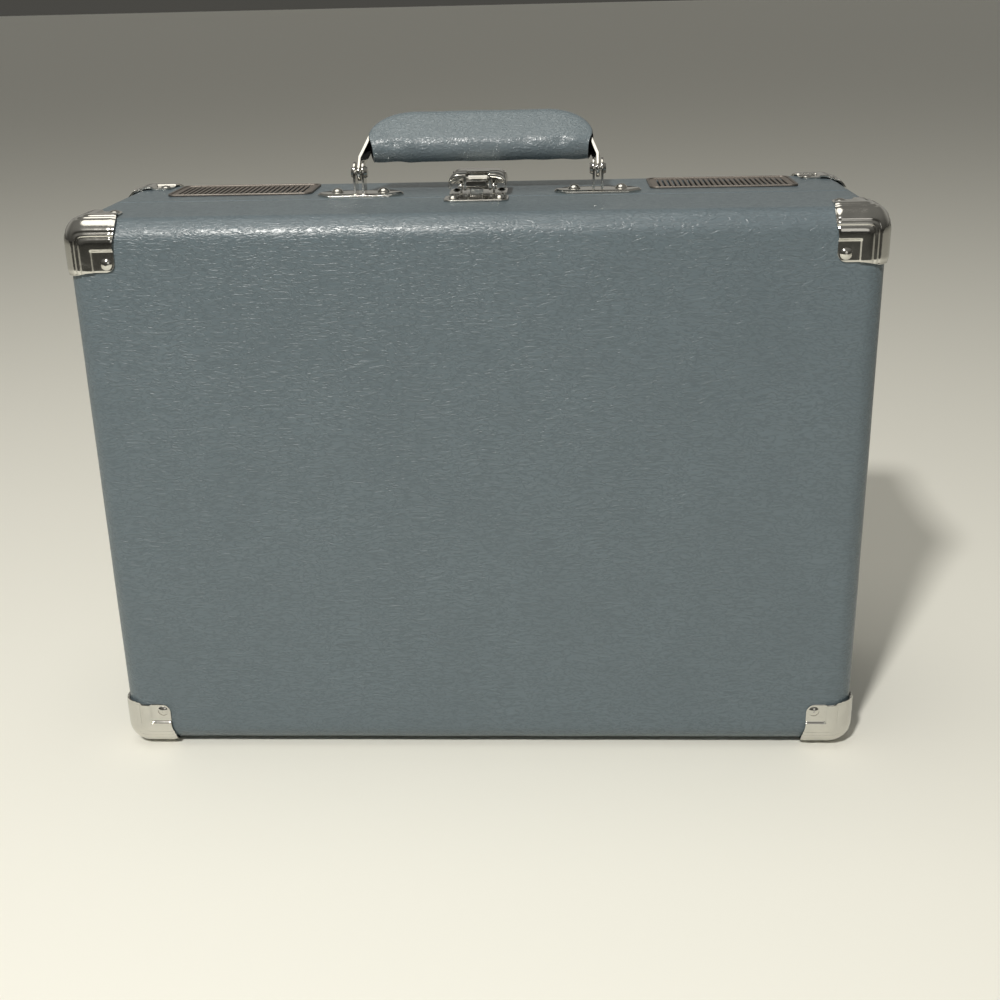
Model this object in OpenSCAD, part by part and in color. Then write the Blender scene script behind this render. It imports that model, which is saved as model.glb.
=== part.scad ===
// Portable suitcase record player, closed and standing on its hinge side.
// Every piece is drawn with the case lying flat (x to the user's right, y towards the hinges, z up from
// the underside), and stand() then tips the whole case up so that its handle points to +Z.

/* [Case] */
// Width of the case, side to side
case_w = 356; // [340:1:380]
// Depth of the case, latch wall to hinge wall
case_d = 258.5; // [250:0.5:275]
// Height of the base box, underside to seam
base_t = 64; // [62:1:70]
// Height of the lid box, seam to top
lid_t = 56; // [54:1:64]
// Outer rounding of every edge and corner
edge_r = 10; // [8:0.5:12]
// Thickness of the side walls
wall_t = 6; // [5:0.5:6]
// Thickness of the base floor and of the lid top
floor_t = 5; // [4:0.5:5]
// Height of the rubber feet
foot_h = 7; // [5:0.5:9]

/* [Hardware] */
// How far the corner protectors reach from each outer face
corner_reach = 23; // [22:0.5:26]
// Thickness of the pressed corner metal
corner_t = 0.9; // [0.8:0.1:1]
// Height of a dome rivet head
rivet_h = 1; // [0.8:0.1:1]
// Distance from one handle bracket to the other
bracket_gap = 112; // [108:1:116]
// Height of the handle pins above the latch wall
handle_pin_h = 10.7; // [10.5:0.1:12]
// Backward lean of the handle
handle_lean = 52; // [40:1:60]
// Length of the handle grip
grip_l = 106; // [100:1:108]
// Distance from the centre of the case to each hinge
hinge_x = 105; // [90:1:120]

/* [Player] */
// Height of the deck surface above the underside
deck_z = 57; // [56:0.5:58]
// Radius of the platter
platter_r = 99; // [90:1:100]
// Spindle place, sideways
spindle_x = -45; // [-48:1:-42]
// Spindle place, front to back
spindle_y = 5; // [0:1:8]
// Radius of the spindle, for a record's centre hole
spindle_r = 3.6; // [3.5:0.01:3.62]
// Tonearm pivot place, sideways
arm_x = 112; // [110:1:116]
// Tonearm pivot place, front to back
arm_y = 88; // [84:1:90]
// Tonearm pivot to stylus
arm_l = 187; // [180:1:188]
// Radius of the volume knob
knob_r = 11; // [9:0.5:12]

/* [Hidden] */

$fn = 48;
fit = 0.05;                                   // radial clearance of a shaft that turns in its hole
gap = 0.3;                                    // clearance between pieces that move past each other
tiny = 0.01;

case_t = base_t + lid_t;
lift = corner_t + rivet_h;                    // the rivet heads stand this far out of the case
mid_y = (case_t + lift - foot_h) / 2;
seam_edge = 1;                                // chamfer of the two rims where they meet
cover = [0.40, 0.46, 0.48];                   // leatherette
nickel = [0.78, 0.77, 0.74];
black = [0.09, 0.09, 0.10];
inner_x = case_w / 2 - wall_t;
inner_y = case_d / 2 - wall_t;
block = 12;                                   // corner blocks that carry the deck
deck_t = 3;
rivet_in = 18.7;                              // rivet centres from the two nearest outer faces
rivet_r = 2.6;
shank_r = 1.2;
hole_r = shank_r + fit;

// front wall fittings, measured from the seam (w) and outwards (h)
bracket_w = -10.5;                            // handle pin line, on the base side of the seam
pin_r = 1.3;
ear_r = 5;
ear_t = 1;
ear_gap = 3;
strap_t = 1.6;
bracket_t = 1.6;
grip_half = 7.3;                              // half the thickness of the grip
grip_low = 17;                                // pins to the middle of its round underside
grip_top = 29.5;                              // pins to the middle of its round crown
core_out = 19;                                // pins to the steel core through it
latch_pin_w = -4;
latch_pin_h = 4;
loop_pin_w = -6.5;
loop_pin_h = 7.5;
latch_top = 10.4;
grille = [70, 34];
grille_x = 116;
grille_z = 31;

// hinges
hinge_y = case_d / 2 - 0.3;
knuckle_r = 2;
leaf_t = 0.8;
leaf_w = 32;
leaf_h = 16;

// turntable
platter_z = deck_z + 8.5;
mat_t = 1.5;
mat_z = platter_z + mat_t;                    // a record lies on this level
spindle_l = 11.5;                             // straight part of the spindle above the mat
journal_r = 5;                                // the platter turns on this part of the spindle
record_z = mat_z + 1.2;
drive_r = 58.5;
pulley_r = 5;
pulley_x = spindle_x - 55;
pulley_y = spindle_y + 55;
arm_z = record_z + 12.8;                      // arm tube centre line, stylus just clear of a record
tube_r = 3.5;
rest_y = arm_y - 125;
clip_at = [arm_x + 9.5, arm_z - 4];           // pivot of the clip that holds the arm on its rest
clip_open = 70;
cue_r = 30;                                   // distance of the arm lifter from the arm pivot
cue_a = 22;
cue_x = arm_x - cue_r * sin(cue_a);
cue_y = arm_y - cue_r * cos(cue_a);
cue_z = deck_z + 9;
volume_at = [140, -92];
source_at = [140, -55];
slider_x = 150;
speed_y = 8;
stop_y = 52;
jack_at = [[100, -110], [78, -110]];
led_at = [118, -92];
adapter_at = [-147, 97];
foot_at = [132, 86];
rear_z = 31;

module stand() {
  translate([0, mid_y, lift + case_d / 2]) rotate([-90, 0, 180]) children();
}

// the front wall: x, then w towards the lid, then h outwards
module front() {
  translate([0, -case_d / 2, base_t]) rotate([90, 0, 0]) children();
}

// the lid's own frame, turned over: z runs from the lid top towards the seam
module lid_side() {
  translate([0, 0, case_t]) mirror([0, 0, 1]) children();
}

module ball(r) {
  rotate_extrude($fn = 32) intersection() {
    circle(r, $fn = 32);
    translate([0, -r]) square([r, 2 * r]);
  }
}

function round_pts(w, h, r, n = 8) = [
  for (q = [0:3], i = [0:n])
    let (a = 90 * q + 90 * i / n,
         sx = (q == 0 || q == 3) ? 1 : -1,
         sy = (q < 2) ? 1 : -1)
    [sx * (w / 2 - r) + r * cos(a), sy * (h / 2 - r) + r * sin(a)]
];

module round_plate(w, h, r, t) {
  linear_extrude(t) polygon(round_pts(w, h, r));
}

// a low dome on the plane z = 0, with its shank below
module dome(r, h, shank = 4, sr = shank_r) {
  big = (r * r + h * h) / (2 * h);
  intersection() {
    translate([0, 0, h - big]) sphere(big);
    cylinder(r = r + 1, h = h + 1);
  }
  if (shank > 0)
    translate([0, 0, -shank]) cylinder(r = sr, h = shank + tiny);
}

// tray with rounded outside, z from 0 (closed side) to h (rim, chamfered)
module tray_solid(h) {
  hull()
    for (sx = [-1, 1], sy = [-1, 1])
      translate([sx * (case_w / 2 - edge_r), sy * (case_d / 2 - edge_r), 0]) {
        translate([0, 0, edge_r]) ball(edge_r);
        translate([0, 0, h - seam_edge - 2]) cylinder(r = edge_r, h = 2, $fn = 32);
        translate([0, 0, h - 2]) cylinder(r = edge_r - seam_edge, h = 2, $fn = 32);
      }
}

// children in a frame whose origin is the outer corner and whose axes run into the tray
module at_corner(sx, sy) {
  translate([sx * case_w / 2, sy * case_d / 2, 0])
    mirror([sx > 0 ? 1 : 0, 0, 0]) mirror([0, sy > 0 ? 1 : 0, 0]) children();
}

// children on the rivet points of the three faces of a corner, z outwards
module at_rivets(out = 0) {
  translate([rivet_in, rivet_in, -out]) rotate([180, 0, 0]) children();
  translate([rivet_in, -out, rivet_in]) rotate([90, 0, 0]) children();
  translate([-out, rivet_in, rivet_in]) rotate([0, -90, 0]) children();
}

module rivet_holes(depth) {
  for (sx = [-1, 1], sy = [-1, 1])
    at_corner(sx, sy) at_rivets() translate([0, 0, -depth]) cylinder(r = hole_r, h = depth + 2);
}

module corner_solid(reach, grow) {
  far = reach - edge_r;
  hull() {
    translate([edge_r, edge_r, edge_r]) ball(edge_r + grow);
    translate([edge_r, edge_r, edge_r]) cylinder(r = edge_r + grow, h = far, $fn = 32);
    translate([edge_r, edge_r, edge_r]) rotate([0, 90, 0]) cylinder(r = edge_r + grow, h = far, $fn = 32);
    translate([edge_r, reach, edge_r]) rotate([90, 0, 0]) cylinder(r = edge_r + grow, h = far, $fn = 32);
    translate([edge_r, edge_r, -grow]) cube([far, far, reach + grow]);
    translate([edge_r, -grow, edge_r]) cube([far, reach + grow, far]);
    translate([-grow, edge_r, edge_r]) cube([reach + grow, far, far]);
  }
}

module corner_protector() {
  difference() {
    corner_solid(corner_reach, corner_t);
    corner_solid(corner_reach + 5, fit);
    at_rivets() translate([0, 0, -1]) cylinder(r = hole_r, h = 4);
  }
}

module corner_rivets() {
  for (sx = [-1, 1], sy = [-1, 1])
    at_corner(sx, sy) at_rivets(corner_t) dome(rivet_r, rivet_h);
}

// hinge leaf for the base side; n picks the knuckles: 0 the outer pair, 1 the middle one
module hinge_leaf(n, dir) {
  spans = n == 0 ? [[-leaf_w / 2, -6.2], [6.2, leaf_w / 2]] : [[-5.9, 5.9]];
  difference() {
    union() {
      translate([-leaf_w / 2, case_d / 2, dir > 0 ? 2.4 : -leaf_h]) cube([leaf_w, leaf_t, leaf_h - 2.4]);
      for (s = spans) {
        translate([s[0], case_d / 2, dir > 0 ? 0 : -3]) cube([s[1] - s[0], leaf_t, 3]);
        translate([s[0], hinge_y, 0]) rotate([0, 90, 0]) cylinder(r = knuckle_r, h = s[1] - s[0]);
      }
    }
    translate([-leaf_w, hinge_y, 0]) rotate([0, 90, 0]) cylinder(r = 1 + fit, h = 2 * leaf_w);
    leaf_screw_places(dir) cylinder(r = hole_r, h = 8, center = true);
  }
}

module leaf_screw_places(dir) {
  for (sx = [-1, 1])
    translate([sx * 10, case_d / 2, dir * 10]) rotate([-90, 0, 0]) children();
}

module hinge_notches() {
  for (sx = [-1, 1])
    translate([sx * hinge_x - leaf_w / 2 - 0.6, hinge_y, base_t]) rotate([0, 90, 0])
      cylinder(r = knuckle_r + gap + 0.05, h = leaf_w + 1.2);
}

// ---- base ----

module base_box() {
  color(cover) stand() difference() {
    tray_solid(base_t - gap);
    translate([-inner_x, -inner_y, floor_t]) cube([2 * inner_x, 2 * inner_y, base_t]);
    for (sx = [-1, 1])
      translate([sx * grille_x, -case_d / 2 - 1, grille_z]) rotate([-90, 0, 0])
        round_plate(grille[0] - 8, grille[1] - 8, 8, wall_t + 2);
    translate([0, case_d / 2 + 1, rear_z]) rotate([90, 0, 0]) round_plate(60, 22, 3, wall_t + 2);
    hinge_notches();
    rivet_holes(4);
    for (sx = [-1, 1], sy = [-1, 1])
      translate([sx * foot_at[0], sy * foot_at[1], -1]) cylinder(r = 1.95, h = 5);
    for (sx = [-1, 1]) {
      translate([sx * hinge_x, 0, base_t]) leaf_screw_places(-1) cylinder(r = hole_r, h = 8, center = true);
      front() latch_rivet_place(sx, -16) cylinder(r = hole_r, h = 8, center = true);
      front() for (side = [-1, 1])
        bracket_rivet_place(sx, side) cylinder(r = hole_r, h = 8, center = true);
    }
  }
}

module base_corners() {
  color(nickel) stand()
    for (sx = [-1, 1], sy = [-1, 1])
      at_corner(sx, sy) corner_protector();
}

module base_rivets() {
  color(nickel) stand() {
    corner_rivets();
    front() for (sx = [-1, 1])
      latch_rivet_place(sx, -16) translate([0, 0, 1]) dome(2, 0.9);
  }
}

module feet() {
  color(black) stand()
    for (sx = [-1, 1], sy = [-1, 1])
      translate([sx * foot_at[0], sy * foot_at[1], -foot_h]) difference() {
        cylinder(r1 = 9, r2 = 10.5, h = foot_h);
        translate([0, 0, -1]) cylinder(r = 4.6, h = 4.5);
        translate([0, 0, -1]) cylinder(r = 2.2, h = foot_h + 2);
      }
}

module screws() {
  color(nickel) stand() {
    for (sx = [-1, 1], sy = [-1, 1]) {
      translate([sx * foot_at[0], sy * foot_at[1], -foot_h + 1.2]) {
        difference() {
          cylinder(r = 4, h = 2.3);
          translate([-3, -0.5, -tiny]) cube([6, 1, 0.8]);
          translate([-0.5, -3, -tiny]) cube([1, 6, 0.8]);
        }
        translate([0, 0, 2.2]) cylinder(r = 1.9, h = foot_h);
      }
      translate([sx * (inner_x - block / 2), sy * (inner_y - block / 2), deck_z]) {
        dome(3, 1.4, 14, 1.6);
      }
    }
    for (sx = [-1, 1])
      translate([sx * hinge_x, leaf_t, base_t]) leaf_screw_places(-1) dome(2.2, 0.6);
  }
}

module deck() {
  color(black) stand() {
    difference() {
      translate([0, 0, deck_z - deck_t]) round_plate(2 * inner_x - 1, 2 * inner_y - 1, 2, deck_t);
      translate([0, 0, deck_z - deck_t - 1]) {
        translate([spindle_x, spindle_y, 0]) cylinder(r = spindle_r + fit, h = 6);
        translate([pulley_x, pulley_y, 0]) cylinder(r = 4, h = 6);
        translate([arm_x, arm_y, 0]) cylinder(r = 5, h = 6);
        translate([cue_x, cue_y, 0]) cylinder(r = 2.5, h = 6);
        for (p = jack_at)
          translate([p[0], p[1], 0]) cylinder(r = 4.1, h = 6);
        for (p = [volume_at, source_at])
          translate([p[0], p[1], 0]) cylinder(r = 3.6, h = 6);
        translate([led_at[0], led_at[1], 0]) cylinder(r = 1.6, h = 6);
        translate([slider_x - 1.7, speed_y - 4, 0]) cube([3.4, 24, 6]);
        translate([slider_x - 1.7, stop_y - 4, 0]) cube([3.4, 16, 6]);
        for (sx = [-1, 1], sy = [-1, 1])
          translate([sx * (inner_x - block / 2), sy * (inner_y - block / 2), 0]) cylinder(r = 1.7, h = 6);
      }
    }
    translate([adapter_at[0], adapter_at[1], deck_z - 1]) cylinder(r = spindle_r, h = 5.5);
    for (sx = [-1, 1], sy = [-1, 1])
      translate([sx * (inner_x - block / 2), sy * (inner_y - block / 2), floor_t]) difference() {
        translate([-block / 2 + 0.3, -block / 2 + 0.3, 0])
          cube([block - 0.6, block - 0.6, deck_z - deck_t - floor_t + tiny]);
        translate([0, 0, 30]) cylinder(r = 1.7, h = 40);
      }
  }
}

module spindle() {
  color(nickel) stand() translate([spindle_x, spindle_y, 0]) rotate_extrude()
    polygon([[0, deck_z - 6], [spindle_r, deck_z - 6], [spindle_r, deck_z], [9, deck_z], [9, deck_z + 1],
             [journal_r, deck_z + 1], [journal_r, mat_z], [spindle_r, mat_z], [spindle_r, mat_z + spindle_l],
             [2.9, mat_z + spindle_l + 1.4], [1.5, mat_z + spindle_l + 2.2], [0, mat_z + spindle_l + 2.5]]);
}

module belt() {
  color(black) stand() translate([0, 0, deck_z + 1.6]) linear_extrude(2.2) difference() {
    hull() {
      translate([spindle_x, spindle_y]) circle(drive_r + 1.15, $fn = 96);
      translate([pulley_x, pulley_y]) circle(pulley_r + 1.15, $fn = 32);
    }
    hull() {
      translate([spindle_x, spindle_y]) circle(drive_r + 0.4, $fn = 96);
      translate([pulley_x, pulley_y]) circle(pulley_r + 0.4, $fn = 32);
    }
  }
}

module motor() {
  color("silver") stand() translate([pulley_x, pulley_y, 0]) {
    translate([0, 0, deck_z - deck_t - 26]) cylinder(r = 13.5, h = 26);
    translate([0, 0, deck_z - deck_t - 28]) cylinder(r = 4, h = 3);
    translate([0, 0, deck_z - deck_t - 1]) cylinder(r = 1, h = 7);
  }
}

module pcb() {
  color([0.10, 0.33, 0.20]) stand() translate([30, 12, floor_t]) {
    translate([0, 0, 7]) cube([100, 62, 1.6]);
    for (x = [5, 95], y = [5, 57])
      translate([x, y, 0]) cylinder(r = 3, h = 7 + tiny);
    for (i = [0:3])
      translate([16 + 12 * i, 20, 8]) cylinder(r = 4, h = 12);
    translate([62, 12, 8]) cube([26, 3, 18]);
    translate([12, 40, 8]) cube([20, 14, 3]);
    translate([50, 42, 8]) cube([30, 8, 6]);
  }
}

module speaker_at() {
  for (sx = [-1, 1])
    translate([sx * grille_x, -inner_y, grille_z]) rotate([-90, 0, 0]) children();
}

module speaker_drivers() {
  color([0.2, 0.2, 0.2]) stand() speaker_at() difference() {
    union() {
      round_plate(68, 38, 6, 2);
      cylinder(r1 = 18, r2 = 11, h = 14);
      translate([0, 0, 14 - tiny]) cylinder(r = 14, h = 9);
    }
    translate([0, 0, -tiny]) cylinder(r1 = 16, r2 = 9.4, h = 12);
  }
}

module speaker_cones() {
  color([0.14, 0.13, 0.12]) stand() speaker_at() translate([0, 0, 1]) {
    difference() {
      cylinder(r1 = 15.2, r2 = 9, h = 10.5);
      translate([0, 0, -tiny]) cylinder(r1 = 14.4, r2 = 5, h = 9);
    }
    translate([0, 0, 6.5]) sphere(4.5);
  }
}

// a thin plate of upright slots in a shallow seat
module grille_plate(sx) {
  front() translate([sx * grille_x, grille_z - base_t, tiny]) difference() {
    round_plate(grille[0] - 3, grille[1] - 3, 3, 0.6);
    for (i = [-12:12])
      translate([i * 2.5 - 0.6, -13, -1]) cube([1.2, 26, 3]);
  }
}

module grille_left() {
  color([0.41, 0.39, 0.35]) stand() grille_plate(-1);
}

module grille_right() {
  color([0.41, 0.39, 0.35]) stand() grille_plate(1);
}

module grille_bezels() {
  color(nickel) stand() front()
    for (sx = [-1, 1])
      translate([sx * grille_x, grille_z - base_t, tiny]) difference() {
        round_plate(grille[0], grille[1], 4, 1);
        translate([0, 0, -1]) round_plate(grille[0] - 2.8, grille[1] - 2.8, 3, 3);
      }
}

module rear_panel() {
  color(black) stand() translate([0, inner_y, rear_z]) rotate([90, 0, 0]) difference() {
    round_plate(68, 30, 4, 2);
    for (x = [-18, 0])
      translate([x, 0, -1]) cylinder(r = 4.3, h = 4);
    translate([18, 0, -1]) cylinder(r = 5.1, h = 4);
  }
}

module rear_sockets() {
  color([0.75, 0.1, 0.1]) stand() translate([0, inner_y, rear_z]) rotate([-90, 0, 0]) {
    for (x = [-18, 0])
      translate([x, 0, -8]) difference() {
        union() {
          cylinder(r = 3.6, h = 9);
          translate([0, 0, 8]) cylinder(r = 4.15, h = 5);
        }
        translate([0, 0, 4]) cylinder(r = 1.6, h = 10);
      }
    translate([18, 0, -12]) difference() {
      cylinder(r = 5, h = 15);
      translate([0, 0, 5]) cylinder(r = 2.8, h = 11);
    }
  }
}

module deck_jacks() {
  color([0.15, 0.15, 0.16]) stand()
    for (p = jack_at)
      translate([p[0], p[1], deck_z - 15]) difference() {
        union() {
          cylinder(r = 4, h = 15.6);
          translate([0, 0, 15]) cylinder(r = 5.4, h = 0.8);
        }
        translate([0, 0, 1.8]) cylinder(r = 1.8, h = 20);
      }
}

module arm_base() {
  color(black) stand() translate([arm_x, arm_y, deck_z]) rotate_extrude()
    polygon([[4 + fit, 0], [19, 0], [19, 3], [16, 6], [16, 9], [4 + fit, 9]]);
}

module arm_rest() {
  color(black) stand() translate([arm_x, rest_y, deck_z]) {
    cylinder(r = 6, h = 2);
    cylinder(r = 3.2, h = arm_z - deck_z - tube_r - 3);
    translate([-5, -3, arm_z - deck_z - tube_r - 3.3]) cube([12.4, 6, 3]);
    translate([5.2, -3, arm_z - deck_z - tube_r - 3]) cube([1.8, 6, 6.5]);
    translate([clip_at[0] - arm_x, 3, clip_at[1] - deck_z]) rotate([90, 0, 0]) difference() {
      union() {
        cylinder(r = 2.6, h = 1.6);
        translate([0, 0, 4.4]) cylinder(r = 2.6, h = 1.6);
        translate([-2.6, -2.6, 0]) cube([2.3, 3.2, 6]);
      }
      translate([0, 0, -1]) cylinder(r = 1 + fit, h = 9);
      translate([0, 0, 1.6]) cylinder(r = 2.9, h = 2.8);
    }
  }
}

module cue_housing() {
  color(black) stand() {
    translate([cue_x, cue_y, deck_z]) difference() {
      cylinder(r = 6, h = 11.5);
      translate([0, 0, -1]) cylinder(r = 2 + fit, h = 20);
    }
    for (x = [cue_x + 9, cue_x + 22])
      translate([x, cue_y, deck_z]) difference() {
        translate([0, -3.5, 0]) cube([3, 7, 12.5]);
        translate([-1, 0, cue_z - deck_z]) rotate([0, 90, 0]) cylinder(r = 1.5 + fit, h = 6);
      }
  }
}

module pots() {
  color([0.3, 0.3, 0.3]) stand()
    for (p = [volume_at, source_at])
      translate([p[0], p[1], 0]) {
        translate([-8, -8, deck_z - deck_t - 9]) cube([16, 16, 9]);
        translate([0, 0, deck_z - deck_t - 1]) cylinder(r = 3, h = 12);
      }
}

module led() {
  color([0.8, 0.1, 0.1]) stand() translate([led_at[0], led_at[1], deck_z - 7]) {
    cylinder(r = 1.5, h = 7);
    translate([0, 0, 7]) sphere(1.5);
  }
}

module latch_rivet_place(sx, w) {
  translate([sx * 10.7, w, 0]) children();
}

module latch_base() {
  color(nickel) stand() front() difference() {
    union() {
      translate([0, -11.6, 0]) round_plate(27, 20.8, 3, 1);
      for (sx = [-1, 1])
        translate([sx * 7.6 - ear_t / 2, 0, 0]) {
          translate([0, latch_pin_w - 2.7, 0]) cube([ear_t, 5.4, latch_pin_h]);
          translate([0, latch_pin_w, latch_pin_h]) rotate([0, 90, 0]) cylinder(r = 2.7, h = ear_t);
        }
    }
    translate([-15, latch_pin_w, latch_pin_h]) rotate([0, 90, 0]) cylinder(r = 1.2 + fit, h = 30);
    for (sx = [-1, 1])
      latch_rivet_place(sx, -16) cylinder(r = hole_r, h = 8, center = true);
  }
}

module latch_pin() {
  color(nickel) stand() front()
    translate([-9, latch_pin_w, latch_pin_h]) rotate([0, 90, 0]) cylinder(r = 1.2, h = 18);
}

module bracket_rivet_place(sx, side) {
  translate([sx * bracket_gap / 2 + side * 11, bracket_w, 0]) children();
}

// a long plate with narrow round ends, inset all round
module bracket_outline(inset) {
  hull() {
    square([29 - 2 * inset, 16 - 2 * inset], center = true);
    for (side = [-1, 1])
      translate([side * 17.4, 0]) circle(3 - inset, $fn = 24);
  }
}

// pressed plate with a stepped rim and an upright clevis of two ears
module bracket(sx) {
  front() translate([sx * bracket_gap / 2, bracket_w, 0]) difference() {
    union() {
      hull() {
        linear_extrude(0.9) bracket_outline(0);
        linear_extrude(bracket_t) bracket_outline(1);
      }
      for (side = [-1, 1])
        translate([side * (ear_gap + ear_t) / 2 - ear_t / 2, 0, 0]) {
          translate([0, -ear_r, 0]) cube([ear_t, 2 * ear_r, handle_pin_h]);
          translate([0, 0, handle_pin_h]) rotate([0, 90, 0]) cylinder(r = ear_r, h = ear_t);
        }
    }
    translate([-10, 0, handle_pin_h]) rotate([0, 90, 0]) cylinder(r = pin_r + fit, h = 20);
    for (side = [-1, 1])
      translate([side * 11, 0, 0]) cylinder(r = hole_r, h = 8, center = true);
  }
}

module bracket_left() {
  color(nickel) stand() bracket(-1);
}

module bracket_right() {
  color(nickel) stand() bracket(1);
}

module handle_pins() {
  pin_l = ear_gap + 2 * ear_t;
  color(nickel) stand() front()
    for (sx = [-1, 1])
      translate([sx * bracket_gap / 2, bracket_w, handle_pin_h]) rotate([0, 90, 0]) {
        cylinder(r = pin_r, h = pin_l + 1, center = true);
        for (side = [0, 1])
          mirror([0, 0, side]) translate([0, 0, pin_l / 2]) cylinder(r1 = 2.8, r2 = 2.2, h = 1.3);
      }
}

module bracket_rivets() {
  color(nickel) stand() front()
    for (sx = [-1, 1], side = [-1, 1])
      bracket_rivet_place(sx, side) translate([0, 0, bracket_t]) dome(3.1, 2);
}

module hinge_base_leaves() {
  color(nickel) stand()
    for (sx = [-1, 1])
      translate([sx * hinge_x, 0, base_t]) hinge_leaf(0, -1);
}

module hinge_pins() {
  color(nickel) stand()
    for (sx = [-1, 1])
      translate([sx * hinge_x - leaf_w / 2, hinge_y, base_t]) rotate([0, 90, 0])
        cylinder(r = 1, h = leaf_w);
}

// ---- lid ----

module lid_box() {
  color(cover) stand() difference() {
    lid_side() difference() {
      tray_solid(lid_t - gap);
      translate([-inner_x, -inner_y, floor_t]) cube([2 * inner_x, 2 * inner_y, lid_t]);
      rivet_holes(4);
    }
    hinge_notches();
    for (sx = [-1, 1]) {
      translate([sx * hinge_x, 0, base_t]) leaf_screw_places(1) cylinder(r = hole_r, h = 8, center = true);
      front() latch_rivet_place(sx, 9.6) cylinder(r = hole_r, h = 8, center = true);
    }
  }
}

module lid_lining() {
  color([0.13, 0.13, 0.14]) stand()
    translate([0, 0, case_t - floor_t - 1]) round_plate(2 * inner_x - 0.6, 2 * inner_y - 0.6, 1, 1);
}

module lid_corner(sx, sy) {
  color(nickel) stand() lid_side() at_corner(sx, sy) corner_protector();
}

module lid_corner_fl() {
  lid_corner(-1, -1);
}

module lid_corner_fr() {
  lid_corner(1, -1);
}

module lid_corner_rl() {
  lid_corner(-1, 1);
}

module lid_corner_rr() {
  lid_corner(1, 1);
}

module lid_rivets() {
  color(nickel) stand() {
    lid_side() corner_rivets();
    for (sx = [-1, 1]) {
      translate([sx * hinge_x, leaf_t, base_t]) leaf_screw_places(1) dome(2.2, 0.6);
      front() latch_rivet_place(sx, 9.6) translate([0, 0, 1]) dome(2.2, 1.2);
    }
  }
}

module hinge_lid_leaves() {
  color(nickel) stand()
    for (sx = [-1, 1])
      translate([sx * hinge_x, 0, base_t]) hinge_leaf(1, 1);
}

module latch_catch() {
  color(nickel) stand() front() {
    difference() {
      translate([0, 9.6, 0]) round_plate(29.5, 16.8, 4, 1);
      for (sx = [-1, 1])
        latch_rivet_place(sx, 9.6) cylinder(r = hole_r, h = 8, center = true);
    }
    translate([-3, 3.6, 1 - tiny]) cube([6, 2.6, 4.2]);
    translate([-3, 3.6, 4]) cube([6, 4.6, 1.2]);
  }
}

// ---- latch ----

module latch_lever() {
  len = 19.5;
  color(nickel) stand() front() difference() {
    union() {
      translate([0, -1.5, 0]) rotate([90, 0, 0]) linear_extrude(len) difference() {
        translate([0, 3.4]) polygon(round_pts(27, 14, 5));
        translate([0, 3.4]) polygon(round_pts(24.8, 11.8, 3.9));
        translate([-20, -7]) square([40, 10.4]);
      }
      translate([-12.6, -1.5 - len, 3.4]) cube([25.2, 1.1, latch_top - 4.6]);
      for (sx = [-1, 1])
        translate([sx * 5.8 - 0.6, -13, 2.6]) cube([1.2, 11.3, latch_top - 3.2]);
      translate([-6, loop_pin_w, loop_pin_h]) rotate([0, 90, 0]) cylinder(r = 0.8, h = 12);
    }
    translate([-5.2, -9.6, 8.6]) cube([10.4, 10, 4]);
    translate([-15, latch_pin_w, latch_pin_h]) rotate([0, 90, 0]) cylinder(r = 1.2 + fit, h = 30);
  }
}

module latch_loop() {
  color(nickel) stand() front() difference() {
    union() {
      translate([-4.6, loop_pin_w, loop_pin_h]) rotate([0, 90, 0]) cylinder(r = 1.5, h = 9.2);
      translate([-4.6, loop_pin_w, 7]) cube([9.2, 15, 1]);
      translate([-4.6, 7.4, 5.7]) cube([9.2, 1.1, 2]);
    }
    translate([-2.6, -1, 6]) cube([5.2, 6.6, 4]);
    translate([-6, loop_pin_w, loop_pin_h]) rotate([0, 90, 0]) cylinder(r = 0.8 + fit, h = 12);
  }
}

// ---- handle ----

// x along the grip, y across it, z out from the pins
module handle_frame() {
  front() translate([0, bracket_w, handle_pin_h]) rotate([handle_lean, 0, 0]) children();
}

module handle_grip() {
  color([0.45, 0.49, 0.50]) stand() handle_frame() difference() {
    hull()
      for (sx = [-1, 1]) {
        translate([sx * (grip_l / 2 - 7.5), 0, grip_low]) ball(grip_half);
        translate([sx * (grip_l / 2 - 9), 0, grip_top - 4.3]) ball(grip_half);
        translate([sx * (grip_l / 2 - 20), 0, grip_top]) ball(grip_half);
      }
    translate([-grip_l, -6, core_out - 1.3]) cube([2 * grip_l, 12, 2.6]);
    for (sx = [-1, 1])
      translate([sx * (grip_l / 2 - 1), 0, core_out - 4.7]) cube([7, 12, 12], center = true);
  }
}

// one bent steel strap: an eye at each pin, an arm that leans in, and a core through the grip
module handle_strap() {
  arm_in = 4;
  color(nickel) stand() handle_frame() difference() {
    union() {
      for (sx = [0, 1])
        mirror([sx, 0, 0]) {
          translate([bracket_gap / 2 - strap_t / 2, 0, 0]) rotate([0, 90, 0]) cylinder(r = 4, h = strap_t);
          rotate([90, 0, 0]) linear_extrude(8, center = true)
            polygon([[bracket_gap / 2 - strap_t / 2, 0], [bracket_gap / 2 + strap_t / 2, 0],
                     [bracket_gap / 2 + strap_t / 2, 5.5],
                     [bracket_gap / 2 + strap_t / 2 - arm_in, core_out + strap_t / 2],
                     [40, core_out + strap_t / 2], [40, core_out - strap_t / 2],
                     [bracket_gap / 2 - strap_t / 2 - arm_in + 0.3, core_out - strap_t / 2],
                     [bracket_gap / 2 - strap_t / 2, 5.5]]);
        }
      translate([-41, -5.5, core_out - strap_t / 2]) cube([82, 11, strap_t]);
    }
    translate([-bracket_gap, 0, 0]) rotate([0, 90, 0]) cylinder(r = pin_r + fit, h = 2 * bracket_gap);
  }
}

// ---- turntable ----

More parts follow.
